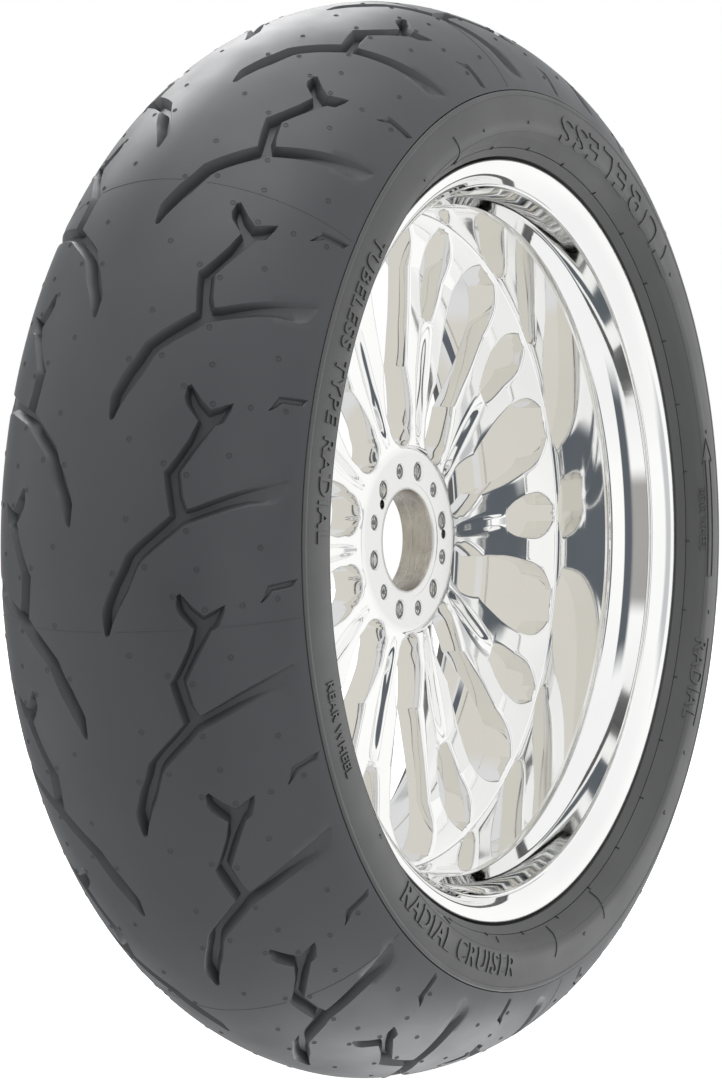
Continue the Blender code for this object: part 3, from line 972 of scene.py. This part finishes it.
def front_height(radius, aside, edge_distance):
    height = through(FACE if radius < FLARE[0][0] else FLARE, radius)
    if VALLEY_START < radius < VALLEY_END:
        floor, wall = through(VALLEY_FLOOR, radius), through(VALLEY_WALL, radius)
        height -= through(VALLEY_DEEP, radius) * (1 - smooth_step(floor, floor + wall, aside))
    return height - roll(edge_distance, EDGE_ROLL)


def column_places(radius, low, high):
    """Positions across an arm in mm, close together at both edges and along the valley's walls."""
    width = high - low
    scale = min(1.0, width / (2.6 * EDGE_COLUMNS[-1]))
    far = [high - offset * scale for offset in EDGE_COLUMNS[::-1]]
    if VALLEY_START < radius < VALLEY_END:
        floor, wall = through(VALLEY_FLOOR, radius), through(VALLEY_WALL, radius)
        near = [floor * share for share in (0, 0.35, 0.7, 1)]
        near += [floor + wall * share for share in (0.12, 0.28, 0.5, 0.72, 0.88, 1)]
    else:
        near = [low + offset * scale for offset in EDGE_COLUMNS]
    start, end = near[-1], far[0]
    between = 2 * len(EDGE_COLUMNS) + MIDDLE_COLUMNS - len(near) - len(far)
    middle = [start + (end - start) * (k + 1) / (between + 1) for k in range(between)]
    return near + middle + far


def half_grid():
    """One half sector of the disc: rows of (x, z, front, back) and whether each edge is open."""
    windows = half_outlines()
    rows = []
    for radius in disc_radii():
        main, fork = main_half(radius), fork_half(radius)
        low = math.asin(fork / radius) * radius
        high = (math.radians(HALF_SECTOR) - math.asin(main / radius)) * radius
        row = []
        for place in column_places(radius, low, high):
            point = disc_point(radius, place / radius)
            distance = min(distance_to(window, point) for window in windows)
            front = front_height(radius, point.y, distance)
            back = through(BACK, radius) - roll(distance, BACK_ROLL)
            row.append((point.x, point.y, -front, back))
        rows.append((radius, row, fork > 0, main > 0))
    return rows


def make_disc():
    rows = half_grid()
    points, faces = [], []
    columns = len(rows[0][1])

    def add_half(axis, flip):
        first = len(points)
        cosine, sine = math.cos(math.radians(axis)), math.sin(math.radians(axis))
        for _, row, _, _ in rows:
            for x, z, *sides in row:
                z = -z if flip else z
                for across in sides:
                    points.append(metres((x * cosine - z * sine, across, x * sine + z * cosine)))
        for i in range(len(rows) - 1):
            for j in range(columns - 1):
                a, b = first + 2 * (i * columns + j), first + 2 * (i * columns + j + 1)
                c, d = b + 2 * columns, a + 2 * columns
                faces.append((a, b, c, d))
                faces.append((a + 1, d + 1, c + 1, b + 1))
            for j, opened in ((0, 2), (columns - 1, 3)):
                if rows[i][opened] or rows[i + 1][opened]:
                    a = first + 2 * (i * columns + j)
                    b = a + 2 * columns
                    faces.append((a, b, b + 1, a + 1))
        for i in (0, len(rows) - 1):
            for j in range(columns - 1):
                a = first + 2 * (i * columns + j)
                faces.append((a, a + 1, a + 3, a + 2))

    for k in range(round(360 / SECTOR)):
        add_half(FORK_AXIS + k * SECTOR, False)
        add_half(FORK_AXIS + k * SECTOR, True)
    mesh = make_mesh("wheel_spokes", points, faces)
    mesh = apply_boolean(mesh, hole_tools(), "DIFFERENCE")
    mesh.name = "wheel_spokes"
    add_object("wheel_spokes", mesh, "chrome", replaces=["spoke_disc"])
    mesh.materials.append(materials["turned"])
    for face in mesh.polygons:
        if math.hypot(face.center.x, face.center.z) < (BORE_RADIUS + 1.2) * MM:
            face.material_index = 1


def hole_tools():
    """The hub's holes, six large and six small on one circle and two little ones, and its bore."""
    tools = []

    def drill(radius, degrees, ring, sink, pitch):
        place = Matrix.Translation(wheel_point(ring, degrees, 0)) @ Matrix.Rotation(math.pi / 2, 4, "X")
        outline = [(0, 12), (radius + sink, 12), (radius + sink, 9.0), (radius, 9.0 - sink)]
        along = 8.0 - sink
        while pitch and along > -13.0:
            outline += [(radius, along), (radius + 0.35, along - pitch / 2)]
            along -= pitch
        outline += [(radius, -13.4), (radius + 0.8, -14.2), (radius + 0.8, -17), (0, -17)]
        tools.append(turned_solid("drill", outline, place, 28))

    for k in range(6):
        drill(5.4, 16 + 60 * k, 44.0, 0.9, 1.5)
        drill(4.4, 46 + 60 * k, 44.0, 0.6, 1.25)
    drill(2.9, 5.0, 44.0, 0.4, 0)
    drill(2.9, 147.0, 40.0, 0.4, 0)
    place = Matrix.Rotation(math.pi / 2, 4, "X")
    bore = [(0, 9.6), (35.7, 9.6), (35.7, 8.75), (33, 8.75), (31.6, 8.1), (30.95, 7.2), (30.75, 6)]
    bore += [(30.75, -5.6), (31, -5.8), (31, -6.2), (30.75, -6.4), (30.75, -12.6), (31.8, -14.4), (0, -14.4)]
    tools.append(turned_solid("bore", bore, place, 160))
    return tools


# ---------------------------------------------------------------- valve


def make_valve():
    place = valve_place()

    def piece(name, outline, material, node, body="wheel", steps=SMALL_STEPS):
        mesh = turned_solid(name, outline, place, steps)
        return add_object(name, mesh, material, body, [node])

    stem = [(2.7, -9.07), (7.0, -9.07), (7.0, -7.6), (6.5, -7.1), (4.0, -7.07), (4.0, 7.4)]
    along = 7.8
    while along < 28.6:
        stem += [(4.0, along), (3.6, along + 0.35)]
        along += 0.7
    stem += [(3.7, 29.0), (3.2, 30.0), (2.7, 30.0)]
    piece("valve_stem_turned", stem, "nickel", "valve_stem")
    washer = [(4.3, 0.3), (7.4, 0.3), (7.6, 0.5), (7.6, 1.1), (7.4, 1.3), (4.3, 1.3)]
    piece("valve_washer_round", washer, "nickel", "valve_washer")
    grommet = [(4.3, -6.77), (7.6, -6.77), (8.0, -6.4), (8.0, -5.1), (7.6, -4.77), (4.3, -4.77)]
    piece("valve_grommet_round", grommet, "inner", "valve_grommet")
    make_valve_nut(place)
    make_valve_cap(place)


def make_valve_nut(place):
    """A hexagon nut with chamfered corners round a bore."""
    steps = 48
    apothem = 7.0 * math.cos(math.pi / 6)

    def hexagon(radius, step):
        turn = math.tau * step / steps
        return min(radius, apothem / math.cos((turn + math.pi / 6) % (math.pi / 3) - math.pi / 6))

    outline = [(4.3, 2), (4.7, 1.6), (6.1, 1.6), (7, 2.1, 1), (7, 6.1, 1), (6.1, 6.6), (4.7, 6.6), (4.3, 6.2)]
    mesh = turned_solid("valve_nut_hex", outline, place, steps, hexagon)
    add_object("valve_nut_hex", mesh, "nickel", replaces=["valve_nut"])


def make_valve_cap(place):
    """A dust cap with a ribbed skirt and a plain crown."""
    ribs, per_rib, dip = 20, 4, 0.3

    def rib(radius, step):
        return radius - dip * (step % per_rib >= per_rib // 2)

    outline = [(0, 32.1), (4.3, 32.1), (4.3, 18), (4.8, 18), (5.05, 18.4, 1), (5.2, 19.2, 1), (5.2, 29.2, 1)]
    outline += [(4.8, 30), (4.7, 32.4), (4.3, 33.2), (3.4, 33.5), (0, 33.5)]
    mesh = turned_solid("valve_cap_ribbed", outline, place, ribs * per_rib, rib)
    add_object("valve_cap_ribbed", mesh, "plastic", "cap", ["valve_cap"])


# ---------------------------------------------------------------- materials


def node_material(name):
    material = bpy.data.materials.new(name)
    material.use_nodes = True
    tree = material.node_tree
    return material, tree, tree.nodes["Principled BSDF"]


def add_node(tree, kind, values, **settings):
    """A new shader node. Each value is a number, a colour or the socket that feeds the input."""
    node = tree.nodes.new("ShaderNode" + kind)
    for setting, value in settings.items():
        setattr(node, setting, value)
    for socket, value in values.items():
        if isinstance(value, bpy.types.NodeSocket):
            tree.links.new(value, node.inputs[socket])
        else:
            node.inputs[socket].default_value = value
    return node.outputs


def smooth(tree, value, low, high):
    values = {"Value": value, "From Min": low, "From Max": high}
    return add_node(tree, "MapRange", values, interpolation_type="SMOOTHSTEP")["Result"]


def noise(tree, scale, detail=3.0, roughness=0.5, stretch=None):
    """A noise texture in object space; the scale counts per metre."""
    source = add_node(tree, "TexCoord", {})["Object"]
    if stretch:
        source = add_node(tree, "Mapping", {"Vector": source, "Scale": stretch})["Vector"]
    values = {"Vector": source, "Scale": scale, "Detail": detail, "Roughness": roughness}
    return add_node(tree, "TexNoise", values)["Fac"]


def ramp(tree, source, stops):
    """A colour ramp; stops are (position, colour)."""
    node = tree.nodes.new("ShaderNodeValToRGB")
    elements = node.color_ramp.elements
    while len(elements) < len(stops):
        elements.new(0.5)
    for element, (position, colour) in zip(elements, stops):
        element.position = position
        element.color = (*colour, 1.0)
    tree.links.new(source, node.inputs["Fac"])
    return node.outputs["Color"]


def level(tree, source, low, high):
    values = {"Value": source, "From Min": 0.3, "From Max": 0.7, "To Min": low, "To Max": high}
    return add_node(tree, "MapRange", values)["Result"]


def bump(tree, shader, source, distance):
    normal = add_node(tree, "Bump", {"Height": source, "Distance": distance, "Strength": 1.0})["Normal"]
    tree.links.new(normal, shader.inputs["Normal"])


def rubber(name, dark, light, rough, grain=900.0, depth=0.00004):
    material, tree, shader = node_material(name)
    broad = noise(tree, 9.0, 4.0, 0.55)
    tree.links.new(ramp(tree, broad, [(0.3, dark), (0.7, light)]), shader.inputs["Base Color"])
    tree.links.new(level(tree, noise(tree, 26.0), rough - 0.05, rough + 0.05), shader.inputs["Roughness"])
    shader.inputs["Specular IOR Level"].default_value = 0.5
    bump(tree, shader, noise(tree, grain, 2.0), depth)
    return material


def metal(name, dark, light, rough_low, rough_high, scale=14.0, grain=0.0, depth=0.0, stretch=None):
    material, tree, shader = node_material(name)
    shader.inputs["Metallic"].default_value = 1.0
    cloud = noise(tree, scale, 4.0, 0.5)
    tree.links.new(ramp(tree, cloud, [(0.3, dark), (0.7, light)]), shader.inputs["Base Color"])
    tree.links.new(level(tree, noise(tree, scale * 3), rough_low, rough_high), shader.inputs["Roughness"])
    if grain:
        bump(tree, shader, noise(tree, grain, 2.0, 0.5, stretch), depth)
    return material


def polished():
    """Mirror-bright aluminium, with a satin face round the hub's bolt holes."""
    material = metal("aluminium_polished", (0.90, 0.90, 0.89), (0.94, 0.94, 0.93), 0.03, 0.06)
    tree = material.node_tree
    shader = tree.nodes["Principled BSDF"]
    place = add_node(tree, "TexCoord", {})["Object"]
    flat = add_node(tree, "VectorMath", {0: place, 1: (1.0, 0.0, 1.0)}, operation="MULTIPLY")["Vector"]
    radius = add_node(tree, "VectorMath", {0: flat}, operation="LENGTH")["Value"]
    far = smooth(tree, radius, SATIN_EDGE[0] * MM, SATIN_EDGE[1] * MM)
    for socket, kind, satin, under, over, out in (
        ("Base Color", "RGBA", (0.79, 0.79, 0.775, 1.0), 6, 7, 2),
        ("Roughness", "FLOAT", 0.17, 2, 3, 0),
    ):
        bright = shader.inputs[socket].links[0].from_socket
        mixed = add_node(tree, "Mix", {"Factor": far, under: satin, over: bright}, data_type=kind)
        tree.links.new(mixed[out], shader.inputs[socket])
    return material


def make_materials():
    return {
        "tread": rubber("tread_rubber_satin", (0.045, 0.047, 0.052), (0.054, 0.056, 0.061), 0.44),
        "sidewall": rubber("sidewall_rubber_satin", (0.072, 0.072, 0.073), (0.086, 0.086, 0.086), 0.48),
        "inner": rubber("inner_rubber_matt", (0.026, 0.026, 0.026), (0.034, 0.034, 0.034), 0.68),
        "ply": rubber("ply_cord_weave", (0.36, 0.31, 0.23), (0.50, 0.44, 0.34), 0.8, 1400.0, 0.0001),
        "chrome": polished(),
        "turned": metal(
            "aluminium_turned", (0.50, 0.47, 0.42), (0.68, 0.65, 0.60), 0.24, 0.34,
            scale=30.0, grain=260.0, depth=0.0004, stretch=(0.3, 8.0, 0.3),
        ),
        "nickel": metal("nickel_plate", (0.62, 0.60, 0.57), (0.72, 0.70, 0.66), 0.16, 0.26),
        "brass": metal("brass_turned", (0.66, 0.49, 0.24), (0.76, 0.58, 0.30), 0.25, 0.36, 40.0),
        "steel_cord": metal(
            "steel_cord_brassed", (0.42, 0.38, 0.32), (0.55, 0.50, 0.42), 0.3, 0.45, 60.0, 1500.0, 0.0002
        ),
        "plastic": rubber("cap_plastic_moulded", (0.018, 0.018, 0.018), (0.026, 0.026, 0.026), 0.42),
    }


def carry_over():
    """The CAD nodes that stay, with finished materials."""
    looks = {"valve_core_body": "brass", "valve_core_pin": "brass", "valve_cap_seal": "inner"}
    for node, look in looks.items():
        mesh = frame["nodes"][node].data
        mesh.materials.clear()
        mesh.materials.append(materials[look])


def make_spring():
    """The core's spring, the CAD coil copied as a steel piece that rides on the wheel."""
    cad = frame["nodes"]["valve_core_spring"]
    place = valve_place()
    mesh = cad.data.copy()
    mesh.transform(cad.matrix_world)
    coil = add_object("valve_core_coil", mesh, "steel_cord", "wheel", ["valve_core_spring"])
    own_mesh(coil)


# ---------------------------------------------------------------- stage

# What the bright metal reflects: a white room with walls, a grey card and a dark gap
WORLD_FRONT = (1.05, 1.05, 1.05)
WORLD_BACK = (0.70, 0.675, 0.62)
WORLD_CARD = (0.60, 0.61, 0.63)
WORLD_BACK_LIGHT = (0.74, 0.745, 0.75)
WORLD_ROOM = (0.115, 0.13, 0.15)
WORLD_ROOM_EDGE = (0.40, 0.39, 0.38)
WORLD_HIGH = (0.97, 0.975, 0.98)
CARD_AZIMUTH, CARD_HEIGHT = (-1.80, -1.34), (-0.35, 0.30)
ROOM_AZIMUTH, ROOM_HEIGHT = (-2.93, -2.555), (-0.80, 0.62)
GAP_AZIMUTH, GAP_HEIGHT = (1.06, 1.34), (-0.75, 0.55)
# What lights the rubber besides the softboxes
RUBBER_NAMES = ("tyre_", "sidewall_words", "round_chafer")
RUBBER_AROUND = (0.78, 0.79, 0.80)
RUBBER_TREAD_SIDE = (1.2, 1.21, 1.23)
RUBBER_SHOULDER = (0.42, 0.43, 0.44)
CAMERA_AZIMUTH = -60.16
CAMERA_ELEVATION = 0.29
CAMERA_ROLL = 0.386
CAMERA_DISTANCE = 1.8806
CAMERA_LENS = 100.955
CAMERA_SHIFT = -0.03325


def make_camera():
    camera = in_scene("camera", bpy.data.cameras.new("camera"))
    azimuth, elevation = math.radians(CAMERA_AZIMUTH), math.radians(CAMERA_ELEVATION)
    back = Vector((math.sin(azimuth), -math.cos(azimuth), 0)) * math.cos(elevation)
    back.z = math.sin(elevation)
    aim = back.to_track_quat("Z", "Y").to_matrix().to_4x4()
    roll_turn = Matrix.Rotation(math.radians(CAMERA_ROLL), 4, "Z")
    camera.matrix_world = Matrix.Translation(back * CAMERA_DISTANCE) @ aim @ roll_turn
    camera.data.lens = CAMERA_LENS
    camera.data.sensor_width = 36.0
    camera.data.shift_x = CAMERA_SHIFT
    camera.data.clip_end = 60.0
    bpy.context.scene.camera = camera


def make_floor():
    low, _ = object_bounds()
    bpy.ops.mesh.primitive_plane_add(size=24.0, location=(0, 0, low.z))
    floor = bpy.context.object
    floor.name = "floor"
    material, tree, shader = node_material("floor_paper")
    shader.inputs["Base Color"].default_value = (0.93, 0.93, 0.925, 1.0)
    shader.inputs["Roughness"].default_value = 0.9
    shader.inputs["Emission Color"].default_value = (1, 1, 1, 1)
    shader.inputs["Emission Strength"].default_value = 1.0
    floor.data.materials.append(material)
    floor.visible_glossy = False
    floor.visible_diffuse = False
    floor.visible_shadow = False


def rubber_pieces():
    """The dull rubber pieces that the softboxes light. The bright wheel has the room's light alone."""
    pieces = bpy.data.collections.get("rubber_pieces")
    if pieces is None:
        pieces = bpy.data.collections.new("rubber_pieces")
        for obj in bpy.context.scene.objects:
            if obj.type == "MESH" and obj.name.startswith(RUBBER_NAMES):
                pieces.objects.link(obj)
    return pieces


def softbox(name, azimuth, elevation, width, height, radiance):
    """A soft light three metres off. Azimuth runs from +X towards +Y."""
    a, e = math.radians(azimuth), math.radians(elevation)
    place = Vector((math.cos(a) * math.cos(e), math.sin(a) * math.cos(e), math.sin(e))) * 3.0
    data = bpy.data.lights.new(name, "AREA")
    data.shape = "RECTANGLE"
    data.size = width
    data.size_y = height
    data.energy = radiance * math.pi * width * height
    light = in_scene(name, data)
    light.location = place
    light.rotation_euler = place.to_track_quat("Z", "Y").to_euler()
    light.visible_camera = False
    light.light_linking.receiver_collection = rubber_pieces()


def make_world():
    """White to the camera; to the metal and rubber a studio with grey and warm walls."""
    world = bpy.data.worlds.new("studio")
    world.use_nodes = True
    bpy.context.scene.world = world
    tree = world.node_tree
    direction = add_node(tree, "TexCoord", {})["Generated"]
    split = add_node(tree, "SeparateXYZ", {"Vector": direction})
    x, y, z = (split[axis] for axis in "XYZ")

    def both(a, b):
        return add_node(tree, "Math", {0: a, 1: b}, operation="MULTIPLY", use_clamp=True)["Value"]

    def band(value, low, high, soft):
        """One between low and high, with soft edges."""
        up = smooth(tree, value, low - soft, low + soft)
        return both(up, smooth(tree, value, high + soft, high - soft))

    def blend(share, under, over):
        under, over = ((*colour, 1.0) if isinstance(colour, tuple) else colour for colour in (under, over))
        return add_node(tree, "Mix", {"Factor": share, 6: under, 7: over}, data_type="RGBA")[2]

    azimuth = add_node(tree, "Math", {0: y, 1: x}, operation="ARCTAN2")["Value"]
    height = add_node(tree, "Math", {0: z, 1: 0.0}, operation="ABSOLUTE")["Value"]
    behind = smooth(tree, y, -0.02, 0.05)
    metal_sees = WORLD_FRONT
    for share, over in (
        (smooth(tree, height, 0.25, 0.75), WORLD_HIGH),
        (both(band(azimuth, *CARD_AZIMUTH, 0.08), band(z, *CARD_HEIGHT, 0.1)), WORLD_CARD),
        (both(smooth(tree, azimuth, -2.85, -2.95), smooth(tree, height, 0.42, 0.3)), WORLD_ROOM_EDGE),
        (both(band(azimuth, *ROOM_AZIMUTH, 0.035), band(z, *ROOM_HEIGHT, 0.1)), WORLD_ROOM),
        (behind, WORLD_BACK),
        (both(behind, smooth(tree, azimuth, 1.75, 1.45)), WORLD_BACK_LIGHT),
        (both(band(azimuth, *GAP_AZIMUTH, 0.05), band(z, *GAP_HEIGHT, 0.1)), WORLD_ROOM),
    ):
        metal_sees = blend(share, metal_sees, over)
    rubber_sees = RUBBER_AROUND
    for share, over in (
        (smooth(tree, x, 0.2, -0.9), RUBBER_TREAD_SIDE),
        (band(azimuth, math.radians(-130), math.radians(-85), 0.3), RUBBER_SHOULDER),
    ):
        rubber_sees = blend(share, rubber_sees, over)
    rays = add_node(tree, "LightPath", {})
    colour = blend(rays["Is Glossy Ray"], rubber_sees, metal_sees)
    colour = blend(rays["Is Camera Ray"], colour, (1.0, 1.0, 1.0))
    tree.links.new(colour, tree.nodes["Background"].inputs["Color"])


def make_stage():
    make_camera()
    make_floor()
    make_world()
    softbox("top_box", 190.0, 80.0, 2.8, 2.8, 1.5)
    softbox("back_box", 50.0, 44.0, 1.9, 1.5, 4.4)
    softbox("front_box", -48.0, -8.0, 1.6, 1.5, 2.0)
    softbox("low_box", 0.0, -54.0, 2.0, 2.0, 1.9)
    bpy.context.scene.view_settings.view_transform = "Standard"


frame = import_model()
materials = make_materials()
make_tread()
make_vent_marks()
make_parting_lines()
make_sidewalls()
make_words()
make_layers()
make_rim()
make_disc()
make_valve()
carry_over()
make_spring()
make_stage()
